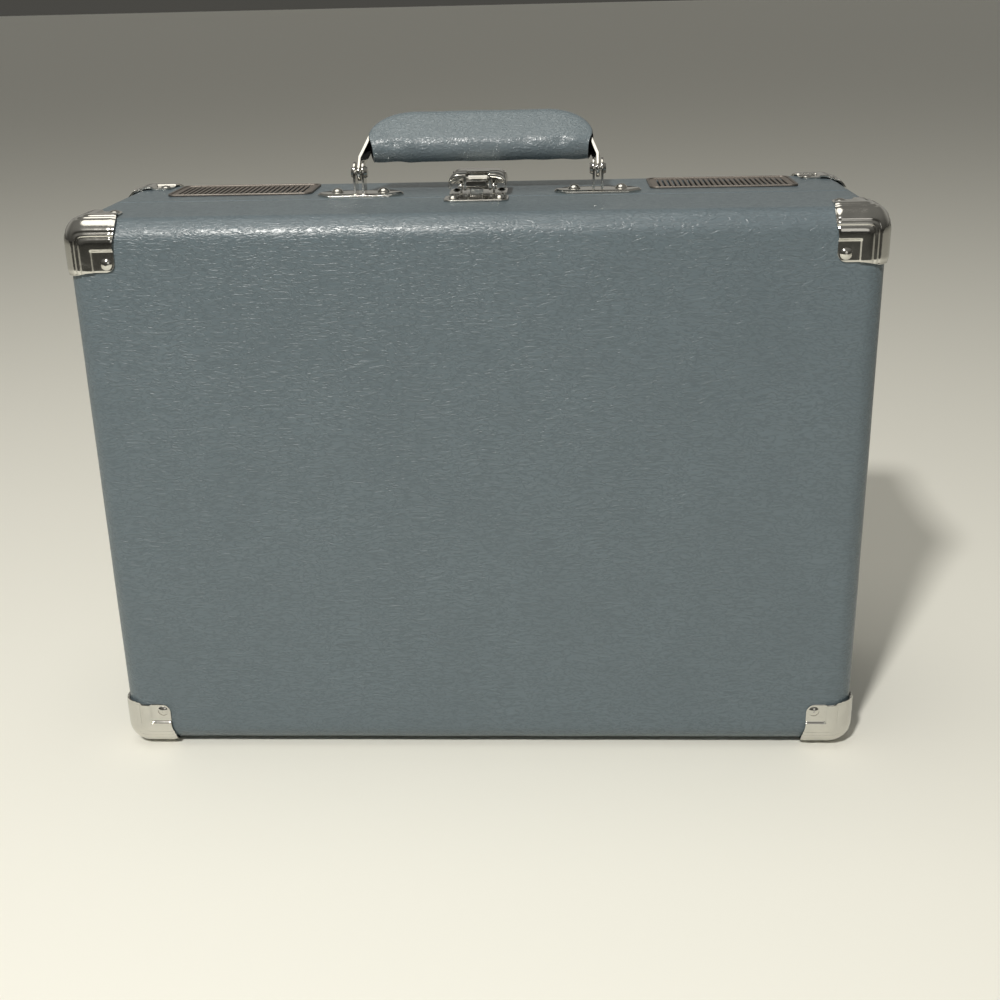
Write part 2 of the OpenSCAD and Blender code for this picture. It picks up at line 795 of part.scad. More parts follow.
module platter() {
  color(black) stand() translate([spindle_x, spindle_y, 0]) rotate_extrude($fn = 96)
    polygon([[journal_r + fit, deck_z + 1.3], [11, deck_z + 1.3], [11, platter_z - 3.7],
             [drive_r - 3.5, platter_z - 3.7], [drive_r - 3.5, deck_z + 1.2], [drive_r, deck_z + 1.2],
             [drive_r, platter_z - 3.7], [platter_r - 3.5, platter_z - 3.7], [platter_r - 3.5, deck_z + 2.5],
             [platter_r, deck_z + 2.5], [platter_r, platter_z - 0.8], [platter_r - 0.8, platter_z],
             [journal_r + fit, platter_z]]);
}

module slipmat() {
  color([0.16, 0.16, 0.17]) stand() translate([spindle_x, spindle_y, platter_z]) difference() {
    cylinder(r = platter_r - 2, h = mat_t, $fn = 96);
    translate([0, 0, -1]) cylinder(r = journal_r + 0.4, h = 5);
  }
}

module motor_pulley() {
  color([0.83, 0.68, 0.35]) stand() translate([pulley_x, pulley_y, deck_z + 0.4]) difference() {
    union() {
      cylinder(r = 6.6, h = 0.6);
      cylinder(r = pulley_r, h = 3.9);
    }
    translate([0, 0, -1]) cylinder(r = 1 + fit, h = 8);
    translate([4, 0, 2.5]) cylinder(r = 0.5, h = 3);
  }
}

module arm_turret() {
  z0 = deck_z + 9.4;
  color(black) stand() translate([arm_x, arm_y, 0]) {
    translate([0, 0, deck_z - 6]) cylinder(r = 4, h = 16);
    translate([0, 0, z0]) cylinder(r = 14, h = 5);
    for (sx = [-1, 1])
      translate([sx * 9.5 - 1.2, -5, z0 + 4]) cube([2.4, 10, arm_z - z0]);
    translate([0, 0, arm_z]) rotate([0, 90, 0]) cylinder(r = 1.5, h = 21, center = true);
  }
}

module arm_tube() {
  color([0.75, 0.75, 0.76]) stand() translate([arm_x, arm_y, arm_z]) difference() {
    union() {
      rotate([90, 0, 0]) cylinder(r = tube_r, h = arm_l - 30);
      translate([-8, -7, -4.2]) cube([16, 16, 8.4]);
      translate([0, 24, 0]) rotate([90, 0, 0]) cylinder(r = 6.5, h = 17);
    }
    rotate([0, 90, 0]) cylinder(r = 1.5 + fit, h = 40, center = true);
  }
}

module headshell() {
  color(black) stand() translate([arm_x, arm_y - arm_l, arm_z]) difference() {
    union() {
      translate([0, 12, -1.4]) round_plate(18, 40, 5, 3);
      translate([0, 34, 0]) rotate([90, 0, 0]) cylinder(r = 5, h = 12);
      translate([8, -3, 0]) cube([9, 5, 1.5]);
    }
    translate([0, arm_l, 0]) rotate([90, 0, 0]) cylinder(r = tube_r + tiny, h = arm_l - 30 + tiny);
  }
}

module cartridge() {
  color([0.12, 0.12, 0.13]) stand() translate([arm_x, arm_y - arm_l, arm_z - 1.4]) {
    translate([-5.5, -6, -7]) cube([11, 20, 7]);
    translate([-4, 14 - tiny, -5]) cube([8, 4, 4]);
  }
}

module stylus() {
  color([0.75, 0.12, 0.10]) stand() translate([arm_x, arm_y - arm_l, arm_z]) {
    translate([-3.5, -5, -10.6]) cube([7, 13, 2.2]);
    translate([0, 0, -12.5]) cylinder(r1 = 0.25, r2 = 0.6, h = 2);
  }
}

module cue_lever() {
  color(nickel) stand() translate([cue_x, cue_y, cue_z]) {
    translate([8.2, 0, 0]) rotate([0, 90, 0]) cylinder(r = 1.5, h = 23);
    translate([26, 0, 0]) rotate([0, 90, 0]) cylinder(r = 2.6, h = 4);
    translate([26, -18, -1]) cube([4, 18, 2]);
    translate([28, -18, -2]) cylinder(r = 3, h = 4);
  }
}

module cue_platform() {
  color(black) stand() {
    translate([cue_x, cue_y, deck_z + 3]) cylinder(r = 2, h = arm_z - tube_r - 1.8 - deck_z - 3);
    translate([arm_x, arm_y, arm_z - tube_r - 2.4]) rotate([0, 0, 215]) rotate_extrude(angle = 62)
      translate([cue_r - 3, 0]) square([6, 2]);
  }
}

// drawn closed over the tube, then swung open away from the arm
module rest_clip() {
  color(black) stand() translate([clip_at[0], rest_y, clip_at[1]]) rotate([0, clip_open, 0]) difference() {
    union() {
      translate([0, 1.1, 0]) rotate([90, 0, 0]) cylinder(r = 2.1, h = 2.2);
      translate([-1.2, -1.1, 0]) cube([2.4, 2.2, 11]);
      translate([-14.6, -1.1, 8.4]) cube([15.8, 2.2, 2.6]);
      translate([-15.8, -1.1, 6]) cube([1.8, 2.2, 5]);
    }
    translate([0, 5, 0]) rotate([90, 0, 0]) cylinder(r = 1 + fit, h = 10);
  }
}

// a cap on the deck, a stem through its slot and a keeper below
module slider(y) {
  stand() translate([slider_x, y, deck_z]) {
    translate([0, 0, gap]) round_plate(9, 6, 1.5, 4.5);
    translate([-1.3, -2.5, -deck_t - 2]) cube([2.6, 5, 8]);
    translate([-4, -3, -deck_t - 2.3]) cube([8, 6, 2]);
  }
}

module speed_slider() {
  color(nickel) slider(speed_y);
}

module stop_slider() {
  color(nickel) slider(stop_y);
}

module knob(p, r) {
  stand() translate([p[0], p[1], deck_z + 0.5]) difference() {
    rotate_extrude()
      polygon([[0, 0], [r, 0], [r, 2], [r - 1, 3], [r - 1.6, 12], [r - 2.6, 13], [0, 13]]);
    translate([0, 0, -1]) cylinder(r = 3 + fit, h = 9.6);
    translate([-0.5, r - 5.6, 12.3]) cube([1, 5, 2]);
  }
}

module volume_knob() {
  color(black) knob(volume_at, knob_r);
}

module source_knob() {
  color(black) knob(source_at, knob_r - 2);
}

module adapter() {
  color([0.80, 0.80, 0.78]) stand() translate([adapter_at[0], adapter_at[1], deck_z + 0.3]) difference() {
    rotate_extrude()
      polygon([[spindle_r + fit, 0], [19.05, 0], [19.05, 2.6], [17.5, 4], [spindle_r + fit, 4]]);
    for (a = [0:120:240])
      rotate([0, 0, a]) translate([11, 0, -1]) cylinder(r = 3, h = 8);
  }
}

base_box();
base_corners();
base_rivets();
feet();
screws();
deck();
spindle();
belt();
motor();
pcb();
speaker_drivers();
speaker_cones();
grille_left();
grille_right();
grille_bezels();
rear_panel();
rear_sockets();
deck_jacks();
arm_base();
arm_rest();
cue_housing();
pots();
led();
latch_base();
latch_pin();
bracket_left();
bracket_right();
handle_pins();
bracket_rivets();
hinge_base_leaves();
hinge_pins();
lid_box();
lid_lining();
lid_corner_fl();
lid_corner_fr();
lid_corner_rl();
lid_corner_rr();
lid_rivets();
hinge_lid_leaves();
latch_catch();
latch_lever();
latch_loop();
handle_grip();
handle_strap();
platter();
slipmat();
motor_pulley();
arm_turret();
arm_tube();
headshell();
cartridge();
stylus();
cue_lever();
cue_platform();
rest_clip();
speed_slider();
volume_knob();
source_knob();
stop_slider();
adapter();
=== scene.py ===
"""Looks of a suitcase record player, closed and standing on its hinge side, around the CAD frame."""

import math
import bpy
import bmesh
from mathutils import Matrix, Vector, noise


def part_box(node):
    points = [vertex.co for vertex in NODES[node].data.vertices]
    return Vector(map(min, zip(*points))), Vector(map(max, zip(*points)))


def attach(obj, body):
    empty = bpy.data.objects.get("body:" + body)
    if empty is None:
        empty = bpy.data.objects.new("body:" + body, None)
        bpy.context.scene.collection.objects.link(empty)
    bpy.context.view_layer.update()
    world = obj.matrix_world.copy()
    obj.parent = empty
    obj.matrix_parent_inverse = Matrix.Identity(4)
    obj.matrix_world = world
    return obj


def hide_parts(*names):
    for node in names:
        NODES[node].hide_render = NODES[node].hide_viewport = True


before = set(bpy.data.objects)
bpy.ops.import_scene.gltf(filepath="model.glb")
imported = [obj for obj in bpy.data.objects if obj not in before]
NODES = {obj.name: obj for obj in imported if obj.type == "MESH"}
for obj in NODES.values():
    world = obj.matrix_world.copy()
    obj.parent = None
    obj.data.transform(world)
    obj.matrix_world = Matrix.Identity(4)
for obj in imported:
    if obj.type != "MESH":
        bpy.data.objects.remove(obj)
for leftover in ("Cube", "Light", "Camera"):
    if leftover in bpy.data.objects:
        bpy.data.objects.remove(bpy.data.objects[leftover])
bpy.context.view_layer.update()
MM = 0.001


# ---- camera ----

def make_camera():
    """The viewer stands in front of the lid, a little to the right, and looks down on the case."""
    pitch, yaw, roll = 0.36195, -0.04813, -0.02346
    forward = Vector((math.sin(yaw) * math.cos(pitch), math.cos(yaw) * math.cos(pitch), -math.sin(pitch)))
    level = Vector((math.cos(yaw), -math.sin(yaw), 0))
    over = level.cross(forward)
    right = math.cos(roll) * level + math.sin(roll) * over
    up = math.cos(roll) * over - math.sin(roll) * level
    data = bpy.data.cameras.new("camera")
    data.sensor_width = 36
    data.lens = 47.49
    data.clip_start = 0.01
    camera = bpy.data.objects.new("camera", data)
    camera.matrix_world = Matrix((right, up, -forward)).transposed().to_4x4()
    camera.location = (0.0371, -0.6290, 0.3454)
    bpy.context.scene.collection.objects.link(camera)
    bpy.context.scene.camera = camera


make_camera()


# ---- materials ----

def new_material(name):
    """A material, its node tree and its shader."""
    mat = bpy.data.materials.new(name)
    mat.use_nodes = True
    return mat, mat.node_tree, mat.node_tree.nodes["Principled BSDF"]


def add(tree, kind, inputs=None, **settings):
    """A new node with its settings and input values; an input value may be another node's output."""
    made = tree.nodes.new(kind)
    for key, value in settings.items():
        setattr(made, key, value)
    for key, value in (inputs or {}).items():
        if isinstance(value, bpy.types.NodeSocket):
            tree.links.new(value, made.inputs[key])
        else:
            made.inputs[key].default_value = value
    return made


def coords(tree, scale=(1, 1, 1)):
    """Places on the object, in metres, stretched along each axis by scale."""
    place = add(tree, "ShaderNodeTexCoord").outputs["Object"]
    return add(tree, "ShaderNodeMapping", {"Vector": place, "Scale": scale}).outputs["Vector"]


def noise_of(tree, vector, scale, detail=3.0, rough=0.55, distortion=0.0):
    made = add(tree, "ShaderNodeTexNoise", {"Vector": vector, "Scale": scale, "Detail": detail,
                                            "Roughness": rough, "Distortion": distortion})
    return made.outputs["Fac"]


def span(tree, value, low, high, to_low=0.0, to_high=1.0, smooth=False):
    made = add(tree, "ShaderNodeMapRange", {"Value": value, "From Min": low, "From Max": high,
                                            "To Min": to_low, "To Max": to_high})
    made.interpolation_type = "SMOOTHSTEP" if smooth else "LINEAR"
    return made.outputs["Result"]


def math_of(tree, operation, a, b):
    return add(tree, "ShaderNodeMath", {0: a, 1: b}, operation=operation).outputs[0]


def blend_colours(tree, factor, a, b):
    made = add(tree, "ShaderNodeMix", data_type="RGBA")
    for key, value in ((0, factor), (6, a), (7, b)):
        if isinstance(value, bpy.types.NodeSocket):
            tree.links.new(value, made.inputs[key])
        else:
            made.inputs[key].default_value = value if key == 0 else (*value, 1)
    return made.outputs[2]


def bump_of(tree, height, strength, distance, normal=None):
    inputs = {"Height": height, "Strength": strength, "Distance": distance}
    if normal is not None:
        inputs["Normal"] = normal
    return add(tree, "ShaderNodeBump", inputs).outputs["Normal"]


def feed(tree, shader, **sockets):
    names = {"base": "Base Color", "rough": "Roughness", "normal": "Normal", "metallic": "Metallic",
             "level": "Specular IOR Level", "coat": "Coat Weight", "coat_rough": "Coat Roughness",
             "sheen": "Sheen Weight", "sheen_rough": "Sheen Roughness"}
    for key, value in sockets.items():
        socket = shader.inputs[names[key]]
        if isinstance(value, bpy.types.NodeSocket):
            tree.links.new(value, socket)
        elif key == "base":
            socket.default_value = (*value, 1)
        else:
            socket.default_value = value


def leatherette(name, colour, stretch, depth, rough, per_metre):
    """Embossed vinyl: long low wrinkles that run along X, with finer pores, over a slow unevenness, and
    painted shade darkening the crease lines.

    stretch below 1 draws the wrinkles out, depth is their height in metres, per_metre their density.
    """
    mat, tree, shader = new_material(name)
    flat = coords(tree)
    place = coords(tree, (stretch, 1, 1))
    warp = add(tree, "ShaderNodeTexNoise", {"Vector": flat, "Scale": 60.0, "Detail": 1.0})
    shifted = add(tree, "ShaderNodeVectorMath", {0: warp.outputs["Color"], "Scale": 0.004},
                  operation="SCALE").outputs[0]
    moved = add(tree, "ShaderNodeVectorMath", {0: place, 1: shifted}, operation="ADD").outputs[0]
    wrinkle = noise_of(tree, moved, per_metre, 1.5, 0.45, 0.25)
    middle = math_of(tree, "SUBTRACT", wrinkle, 0.5)
    crease = span(tree, math_of(tree, "ABSOLUTE", middle, 0.0), 0.0, 0.10, smooth=True)
    fine = noise_of(tree, place, 2.4 * per_metre, 2)
    slow = noise_of(tree, flat, 22, 2)
    worn = span(tree, noise_of(tree, flat, 55, 2), 0.35, 0.7, 0.72, 1.0)
    height = math_of(tree, "ADD", wrinkle, math_of(tree, "MULTIPLY", crease, 0.22))
    height = math_of(tree, "MULTIPLY", height, worn)
    height = math_of(tree, "ADD", height, math_of(tree, "MULTIPLY", fine, 0.10))
    # Painted shade: the crease lines take a colour 16 % darker than the body of the vinyl.
    crease_shade = tuple(c * 0.84 for c in colour)
    darker, lighter = tuple(c * 0.97 for c in colour), tuple(c * 1.05 for c in colour)
    body = blend_colours(tree, span(tree, slow, 0.3, 0.7), darker, lighter)
    feed(tree, shader, base=blend_colours(tree, crease, crease_shade, body),
         rough=span(tree, crease, 0.0, 1.0, rough + 0.08, rough), level=0.5,
         normal=bump_of(tree, height, 1.0, depth))
    return mat


def metal(name, colour, rough=0.14, smear=0.10, lines=0.0):
    """Plated or drawn metal with faint smears and an uneven polish; lines adds fine drawing marks."""
    mat, tree, shader = new_material(name)
    place = coords(tree)
    smears = noise_of(tree, place, 160, 4, 0.6, 0.6)
    peel = noise_of(tree, place, 700, 2)
    tarnish = noise_of(tree, place, 60, 3)
    if lines:
        drawn = noise_of(tree, coords(tree, (1, 60, 60)), 90, 2)
        peel = math_of(tree, "ADD", peel, math_of(tree, "MULTIPLY", drawn, lines))
    tarnished = tuple(c * 0.86 for c in colour)
    feed(tree, shader, metallic=1.0,
         base=blend_colours(tree, span(tree, tarnish, 0.35, 0.7), colour, tarnished),
         rough=span(tree, smears, 0.3, 0.75, rough, rough + smear),
         normal=bump_of(tree, peel, 0.10, 0.0002))
    return mat


def plastic(name, colour, rough=0.4, grain=0.5, scale=1400, coat=0.0):
    """Moulded plastic: a spark-eroded grain, slight sheen changes and dust-pale specks of wear."""
    mat, tree, shader = new_material(name)
    place = coords(tree)
    fine = noise_of(tree, place, scale, 2)
    slow = noise_of(tree, place, 45, 3)
    worn = tuple(min(1, c * 1.25 + 0.004) for c in colour)
    feed(tree, shader, coat=coat, coat_rough=0.15,
         base=blend_colours(tree, span(tree, slow, 0.3, 0.75), colour, worn),
         rough=span(tree, slow, 0.3, 0.7, rough, rough + 0.12), normal=bump_of(tree, fine, grain, 0.0001))
    return mat


def cloth(name, colour, pitch=0.0012, depth=0.0002):
    """A woven or felted surface: two crossed sets of threads under a loose fuzz, with painted shade
    darkening the gaps between threads.
    """
    mat, tree, shader = new_material(name)
    place = coords(tree)
    threads = []
    for axis in ("X", "Z"):
        wave = add(tree, "ShaderNodeTexWave", {"Vector": place, "Scale": 0.31 / pitch, "Distortion": 1.2,
                                               "Detail": 1.0}, bands_direction=axis)
        threads.append(wave.outputs["Fac"])
    woven = math_of(tree, "MAXIMUM", threads[0], threads[1])
    fuzz = noise_of(tree, place, 1800, 3)
    height = math_of(tree, "ADD", woven, fuzz)
    # Painted shade: the low parts of the weave, between the threads, are 40 % darker.
    feed(tree, shader, base=blend_colours(tree, woven, tuple(c * 0.6 for c in colour), colour), rough=0.85,
         sheen=0.25, sheen_rough=0.5, normal=bump_of(tree, height, 0.6, depth))
    return mat


COVER = (0.116, 0.150, 0.169)
MATERIALS = {
    "case_cover": leatherette("leatherette", COVER, 0.30, 0.00034, 0.30, 860),
    "grip_cover": leatherette("grip_leatherette", (0.150, 0.186, 0.204), 0.60, 0.00038, 0.26, 880),
    "nickel": metal("nickel", (0.66, 0.65, 0.61), 0.09, 0.09),
    "steel": metal("steel", (0.50, 0.50, 0.49), 0.28, 0.12, 0.6),
    "dark_metal": metal("dark_metal", (0.09, 0.09, 0.09), 0.35, 0.15),
    "rubber": plastic("rubber", (0.022, 0.022, 0.022), 0.72, 0.8, 900),
    "deck_plastic": plastic("deck_plastic", (0.020, 0.020, 0.022), 0.46, 0.9, 1500),
    "black_plastic": plastic("black_plastic", (0.016, 0.016, 0.017), 0.30, 0.25, 900),
    "knob_plastic": plastic("knob_plastic", (0.026, 0.026, 0.028), 0.38, 0.4, 1100),
    "board": plastic("board", (0.018, 0.105, 0.05), 0.30, 0.3, 500, 0.4),
    "cone": cloth("cone_paper", (0.032, 0.031, 0.029), 0.0008),
    "grille": metal("grille_paint", (0.34, 0.30, 0.265), 0.42, 0.15),
    "bezel": metal("dull_bezel", (0.27, 0.245, 0.22), 0.42, 0.15),
    "socket": plastic("socket", (0.42, 0.028, 0.026), 0.30, 0.2),
    "led_lens": plastic("led_lens", (0.50, 0.02, 0.02), 0.12, 0.1, 800, 0.8),
    "lining": cloth("lining", (0.034, 0.034, 0.036), 0.0010),
    "platter_metal": metal("platter_paint", (0.05, 0.05, 0.052), 0.34, 0.10, 0.4),
    "mat_felt": cloth("felt", (0.038, 0.038, 0.040), 0.0009, 0.0003),
    "brass": metal("brass", (0.70, 0.50, 0.21), 0.20, 0.12, 0.4),
    "arm_metal": metal("arm_metal", (0.62, 0.62, 0.63), 0.22, 0.10, 0.3),
    "stylus_red": plastic("stylus_red", (0.48, 0.02, 0.018), 0.28, 0.2),
    "adapter_plastic": plastic("adapter_plastic", (0.56, 0.56, 0.53), 0.36, 0.3),
}


def make_hollow_black():
    """Near-black painted shade for the inside of a hollow that light hardly reaches, with a faint noise
    speckle.
    """
    mat, tree, shader = new_material("hollow_black")
    dust = noise_of(tree, coords(tree), 400, 2)
    feed(tree, shader, rough=0.9,
         base=blend_colours(tree, dust, (0.004, 0.004, 0.004), (0.010, 0.010, 0.010)))
    return mat


MATERIALS["hollow"] = make_hollow_black()


# ---- mesh helpers ----

def make_piece(name, bm, slot, body, replaced=(), extra=()):
    """Turns bm into a named object with a material, riding on a body, standing for CAD nodes."""
    mesh = bpy.data.meshes.new(name)
    for face in bm.faces:
        face.smooth = True
    bm.to_mesh(mesh)
    bm.free()
    piece = bpy.data.objects.new(name, mesh)
    bpy.context.scene.collection.objects.link(piece)
    for key in (slot, *extra):
        mesh.materials.append(MATERIALS[key])
    if replaced:
        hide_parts(*replaced)
    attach(piece, body)
    return piece


def rings_to_mesh(bm, rings, closed=True):
    """Quads between neighbouring rings of points, each ring with the same count."""
    loops = [[bm.verts.new(p) for p in ring] for ring in rings]
    faces = []
    count = len(loops[0])
    for a, b in zip(loops, loops[1:]):
        for i in range(count if closed else count - 1):
            j = (i + 1) % count
            faces.append(bm.faces.new((a[i], a[j], b[j], b[i])))
    return loops, faces


def weld_up(bm, distance=0.00002):
    bmesh.ops.remove_doubles(bm, verts=bm.verts, dist=distance)
    bmesh.ops.dissolve_degenerate(bm, edges=bm.edges, dist=distance)
    bmesh.ops.recalc_face_normals(bm, faces=bm.faces)


def soften(piece, width, angle=35, segments=2):
    """Rounds the sharp edges of a piece by a small bevel, so that they catch the light."""
    weld = piece.modifiers.new("weld", "WELD")
    weld.merge_threshold = 0.00001
    bevel = piece.modifiers.new("bevel", "BEVEL")
    bevel.width = width
    bevel.segments = segments
    bevel.limit_method = "ANGLE"
    bevel.angle_limit = math.radians(angle)
    bevel.use_clamp_overlap = True
    bevel.harden_normals = False
    even = piece.modifiers.new("even_normals", "WEIGHTED_NORMAL")
    even.keep_sharp = False
    even.weight = 80


def cut(piece, cutters):
    """Subtracts closed helper meshes from a piece and removes them."""
    for helper in cutters:
        mod = piece.modifiers.new("cut", "BOOLEAN")
        mod.operation = "DIFFERENCE"
        mod.solver = "EXACT"
        mod.object = helper
    bpy.context.view_layer.update()
    done = bpy.data.meshes.new_from_object(piece.evaluated_get(bpy.context.evaluated_depsgraph_get()))
    piece.modifiers.clear()
    piece.data = done
    for helper in cutters:
        bpy.data.objects.remove(helper)


def block(lo, hi, radius=0.0, axis=2, steps=6):
    """A helper box whose edges along one axis are rounded."""
    bm = bmesh.new()
    across = [i for i in range(3) if i != axis]
    rings = []
    for level in (lo[axis], hi[axis]):
        ring = []
        for sx, sy, start in ((1, 1, 0), (-1, 1, 90), (-1, -1, 180), (1, -1, 270)):
            for k in range(steps + 1):
                turn = math.radians(start + 90 * k / steps)
                point = [0.0, 0.0, 0.0]
                point[axis] = level
                for which, (sign, swing) in zip(across, ((sx, math.cos(turn)), (sy, math.sin(turn)))):
                    half = (hi[which] - lo[which]) / 2
                    point[which] = (lo[which] + hi[which]) / 2 + sign * (half - radius) + radius * swing
                ring.append(point)
        rings.append(ring)
    loops, _ = rings_to_mesh(bm, rings)
    bm.faces.new(loops[0])
    bm.faces.new(loops[1])
    weld_up(bm)
    mesh = bpy.data.meshes.new("helper")
    bm.to_mesh(mesh)
    bm.free()
    helper = bpy.data.objects.new("helper", mesh)
    bpy.context.scene.collection.objects.link(helper)
    return helper


# ---- the two case shells ----

EDGE = 10 * MM
WALL = 6 * MM
FLOOR = 5 * MM
RIM = 1.0 * MM


def outline(half_x, half_z, radius, straight_x, straight_z, arc):
    """Points round a rounded rectangle, as many for any size and radius."""
    ring = []
    sides = ((1, 1, 0, straight_x, -1, 0), (-1, 1, 90, straight_z, 0, -1),
             (-1, -1, 180, straight_x, 1, 0), (1, -1, 270, straight_z, 0, 1))
    for sx, sz, start, straight, dx, dz in sides:
        centre = (sx * (half_x - radius), sz * (half_z - radius))
        for k in range(arc + 1):
            turn = math.radians(start + 90 * k / arc)
            ring.append((centre[0] + radius * math.cos(turn), centre[1] + radius * math.sin(turn)))
        length = 2 * ((half_x if dx else half_z) - radius)
        last = ring[-1]
        for k in range(1, straight):
            ring.append((last[0] + dx * length * k / straight, last[1] + dz * length * k / straight))
    return ring


def tray(name, node, body, face_y, rim_y):
    """A leatherette box shell, closed at face_y and open at rim_y, with soft edges and a turned-in rim."""
    lo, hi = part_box(node)
    centre_z = (lo.z + hi.z) / 2
    half_x, half_z = (hi.x - lo.x) / 2, (hi.z - lo.z) / 2
    inward = 1 if rim_y > face_y else -1
    deep = abs(rim_y - face_y)
    nx, nz, arc = 60, 44, 8
    profile = []
    for k in range(11):
        turn = math.pi / 2 * k / 10
        profile.append((EDGE * (1 - math.sin(turn)), EDGE * (1 - math.cos(turn)), EDGE * math.sin(turn)))
    wall_steps = 12
    for k in range(1, wall_steps + 1):
        profile.append((0, EDGE + (deep - RIM - EDGE) * k / wall_steps, EDGE))
    for k in range(1, 6):
        turn = math.pi / 2 * k / 5
        inset = RIM * (1 - math.cos(turn))
        profile.append((inset, deep - RIM * (1 - math.sin(turn)), EDGE - inset))
    for k in range(5):
        turn = math.pi / 2 * k / 4
        inset = WALL - RIM * (1 - math.sin(turn))
        profile.append((inset, deep - RIM * (1 - math.cos(turn)), 3 * MM))
    for depth in (deep * 0.75, deep * 0.5, FLOOR + 2 * MM):
        profile.append((WALL, depth, 3 * MM))
    profile.append((WALL + 0.6 * MM, FLOOR + 0.6 * MM, 2.4 * MM))
    profile.append((WALL + 2 * MM, FLOOR, 1 * MM))
    bm = bmesh.new()
    rings = []
    for inset, depth, radius in profile:
        ring = outline(half_x - inset, half_z - inset, max(radius, 0), nx, nz, arc)
        rings.append([(x, face_y + inward * depth, centre_z + z) for x, z in ring])
    loops, _ = rings_to_mesh(bm, rings)
    bm.faces.new(loops[-1])
    flat_x, flat_z = half_x - EDGE, half_z - EDGE
    rows = [[(-flat_x + 2 * flat_x * i / nx, face_y, centre_z - flat_z + 2 * flat_z * j / nz)
             for i in range(nx + 1)] for j in range(nz + 1)]
    rings_to_mesh(bm, rows, closed=False)
    weld_up(bm)
    for vert in bm.verts:
        if vert.normal.length > 0 and abs(vert.co.y - rim_y) > 3 * MM:
            vert.co += vert.normal * 0.10 * MM * noise.noise(vert.co * 30)
    return make_piece(name, bm, "case_cover", body, (node,))


def hinge_cutters():
    """Notches in the rim for the hinge knuckles."""
    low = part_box("hinge_base_leaves")[0].z
    seam = (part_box("lid_box")[1].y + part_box("base_box")[0].y) / 2
    hinge_x, half_width, half_gap = 105 * MM, 16.4 * MM, 2.4 * MM
    made = []
    for sx in (-1, 1):
        mid = sx * hinge_x
        made.append(block((mid - half_width, seam - half_gap, low - 2 * MM),
                          (mid + half_width, seam + half_gap, low + 4.35 * MM), 2.2 * MM, 0))
    return made


def opening_cutters():
    """The openings behind the two grilles and the rear panel."""
    grille_lo, grille_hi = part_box("grille_right")
    panel_lo, panel_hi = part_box("rear_panel")
    grille_y, panel_y = (grille_lo.y + grille_hi.y) / 2, (panel_lo.y + panel_hi.y) / 2
    grille_half_x, grille_half_y = 31 * MM, 13 * MM
    panel_half_x, panel_half_y = 30 * MM, 11 * MM
    made = []
    for side in (-1, 1):
        middle = side * abs(grille_lo.x + grille_hi.x) / 2
        made.append(block((middle - grille_half_x, grille_y - grille_half_y, base_hi.z - 8 * MM),
                          (middle + grille_half_x, grille_y + grille_half_y, base_hi.z + 2 * MM), 8 * MM))
    made.append(block((-panel_half_x, panel_y - panel_half_y, base_lo.z - 2 * MM),
                      (panel_half_x, panel_y + panel_half_y, base_lo.z + 8 * MM), 3 * MM))
    return made


base_lo, base_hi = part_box("base_box")
lid_lo, lid_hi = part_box("lid_box")
base_shell = tray("base_shell", "base_box", "base", base_hi.y, base_lo.y)
lid_shell = tray("lid_shell", "lid_box", "lid", lid_lo.y, lid_hi.y)
cut(base_shell, hinge_cutters() + opening_cutters())
cut(lid_shell, hinge_cutters())


# ---- corner protectors ----

# All in mm: how far a protector reaches from the corner, how high its pad stands over the leatherette,
# and where its mesh lines run, closer together at the grooves, the pad's step and the edge.
REACH = 22.3
GUARD = 0.9
SHEET_LINES = (0, 1, 2, 3, 3.8, 4.3, 4.7, 5.1, 5.5, 5.9, 6.3, 6.6, 6.9, 7.2, 7.5, 7.9, 8.4,
               9.4, 10.4, 11.6, 12.1, 12.35, 12.6, 12.9, 13.2, 13.5, 14, 15.2, 16.4, 17.6,
               18.6, 19.5, 20.2, 20.8, 21.3, 21.7, 22.0, 22.3)


def step(value, low, high):
    """A smooth rise from 0 to 1 between low and high."""
    t = min(1, max(0, (value - low) / (high - low)))
    return t * t * (3 - 2 * t)


def guard_height(u, v):
    """Height of the pressed metal over the leatherette: outer band, two grooves, sunk pad at the rivet."""
    turn = 1.3
    pad = step(u, 12.2, 13.3) * step(v, 12.2, 13.3)
    nearest = -turn * math.log(math.exp(-u / turn) + math.exp(-v / turn))
    height = GUARD + 0.85 * (1 - pad)
    height -= 0.50 * math.exp(-((nearest - 7.2) / 0.55) ** 2)
    height -= 0.30 * math.exp(-((nearest - 5.1) / 0.45) ** 2)
    height += 0.20 * (1 - step(nearest, 3.0, 5.4))
    height -= 0.30 * step(max(u, v), REACH - 0.8, REACH + 0.6)
    return height


def guard_grid():
    """Points of a protector in mm from the outer corner, on three faces."""
    edge = EDGE / MM
    keep = 1 - 4.2 / REACH
    patches = []
    for axis in range(3):
        rows = []
        for line_b in SHEET_LINES:
            row = []
            for line_a in SHEET_LINES:
                a, b = line_a / REACH, line_b / REACH
                over_a, over_b = max(0, (a - keep) / (1 - keep)), max(0, (b - keep) / (1 - keep))
                if over_a > 0 and over_b > 0:
                    a = keep + (1 - keep) * over_a * math.sqrt(1 - over_b ** 2 / 2)
                    b = keep + (1 - keep) * over_b * math.sqrt(1 - over_a ** 2 / 2)
                u, v = a * REACH, b * REACH
                u, v = (u + 1.4 * a * a * (1 - step(v, 3, 12)), v + 1.4 * b * b * (1 - step(u, 3, 12)))
                point = [0.0, 0.0, 0.0]
                point[(axis + 1) % 3], point[(axis + 2) % 3] = u, v
                core = Vector([max(p, edge) for p in point])
                out = (Vector(point) - core).normalized()
                row.append(core + (edge + guard_height(u, v)) * out)
            rows.append(row)
        patches.append(rows)
    return patches


GUARD_GRID = guard_grid()


